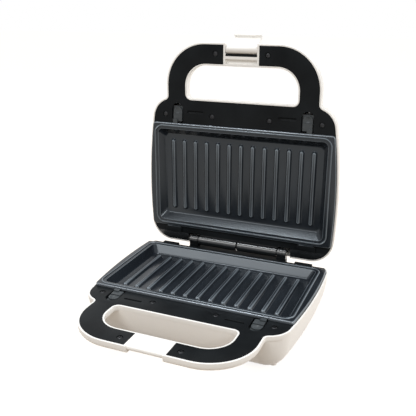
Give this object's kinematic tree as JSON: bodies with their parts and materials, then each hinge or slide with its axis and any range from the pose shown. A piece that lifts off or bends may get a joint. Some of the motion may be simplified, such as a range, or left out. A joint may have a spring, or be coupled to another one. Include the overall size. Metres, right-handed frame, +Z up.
{
  "type": "sandwich toaster",
  "caption": "Countertop sandwich toaster with two hinged halves, lift-out ribbed plates, sprung plate clips, an open U-shaped handle and a swing-over latch.",
  "frame": {"origin": "centre of the overall bounding box at the level of the feet, with the lid open", "axes": "+X along the hinge to the right as seen from the handle side, +Y from the handle to the hinge, +Z up"},
  "size_m": [0.251, 0.2964, 0.3257],
  "materials": {
    "white_shell": "warm white polypropylene, satin gloss",
    "black_deck": "black glass-filled moulding, satin",
    "coated_casting": "die-cast aluminium with dark blue-grey non-stick coating",
    "grey_nylon": "dark grey nylon, matte",
    "spring_steel": "bright spring wire",
    "blackened_screw": "blackened steel",
    "zinc_screw": "zinc-plated steel",
    "aluminised_sheet": "aluminised steel sheet",
    "heater_sheath": "oxidised steel tube",
    "ceramic": "glazed steatite",
    "natural_nylon": "natural nylon",
    "black_rubber": "moulded rubber, matte",
    "wire_sleeve": "silicone-sleeved lead",
    "pin_steel": "bright steel pin",
    "red_lens": "translucent amber-red lens",
    "clear_lamp": "clear lamp body",
    "circuit_board": "green lacquered board"
  },
  "bodies": {
    "base": {"base_shell": "white_shell", "base_deck": "black_deck", "base_plate": "coated_casting", "base_spring_left": "spring_steel", "base_spring_right": "spring_steel", "base_screws": "blackened_screw", "base_reflector": "aluminised_sheet", "base_reflector_screws": "zinc_screw", "base_heater": "heater_sheath", "base_heater_insulators": "ceramic", "base_heater_saddles": "aluminised_sheet", "thermostat": "ceramic", "thermal_fuse": "zinc_screw", "terminal_block": "natural_nylon", "terminal_screws": "zinc_screw", "cord_gland": "black_rubber", "cord_clamp": "black_deck", "cord_clamp_screws": "zinc_screw", "base_wiring": "wire_sleeve", "feet": "black_rubber", "hinge_pins": "pin_steel"},
    "lid": {"lid_shell": "white_shell", "lid_deck": "black_deck", "lid_plate": "coated_casting", "lid_spring_left": "spring_steel", "lid_spring_right": "spring_steel", "lid_screws": "blackened_screw", "lid_reflector": "aluminised_sheet", "lid_reflector_screws": "zinc_screw", "lid_heater": "heater_sheath", "lid_heater_insulators": "ceramic", "lid_heater_saddles": "aluminised_sheet", "lid_wiring": "wire_sleeve", "indicator_lenses": "red_lens", "indicator_lamps": "clear_lamp", "lamp_board": "circuit_board", "latch_pin": "pin_steel", "latch_detent": "black_deck"},
    "latch": {"latch_lever": "white_shell"},
    "base_clip_left": {"base_clip_left": "grey_nylon"},
    "base_clip_right": {"base_clip_right": "grey_nylon"},
    "lid_clip_left": {"lid_clip_left": "grey_nylon"},
    "lid_clip_right": {"lid_clip_right": "grey_nylon"}
  },
  "joints": [
    {"name": "lid_hinge", "type": "hinge", "parent": "base", "child": "lid", "pos_m": [0, 0.1081, 0.0584], "axis": [1, 0, 0], "range_deg": [0, 90]},
    {"name": "latch_pivot", "type": "hinge", "parent": "lid", "child": "latch", "pos_m": [0, 0.1147, 0.3076], "axis": [1, 0, 0], "range_deg": [0, 125]},
    {"name": "base_clip_left_slide", "type": "slide", "parent": "base", "child": "base_clip_left", "axis": [0, -1, 0], "range_m": [0, 0.004], "stiffness_N_per_m": 350, "springref_m": -0.002, "deforming": ["base_spring_left"]},
    {"name": "base_clip_right_slide", "type": "slide", "parent": "base", "child": "base_clip_right", "axis": [0, -1, 0], "range_m": [0, 0.004], "stiffness_N_per_m": 350, "springref_m": -0.002, "deforming": ["base_spring_right"]},
    {"name": "lid_clip_left_slide", "type": "slide", "parent": "lid", "child": "lid_clip_left", "axis": [0, 0, 1], "range_m": [0, 0.004], "stiffness_N_per_m": 350, "springref_m": -0.002, "deforming": ["lid_spring_left"]},
    {"name": "lid_clip_right_slide", "type": "slide", "parent": "lid", "child": "lid_clip_right", "axis": [0, 0, 1], "range_m": [0, 0.004], "stiffness_N_per_m": 350, "springref_m": -0.002, "deforming": ["lid_spring_right"]}
  ]
}
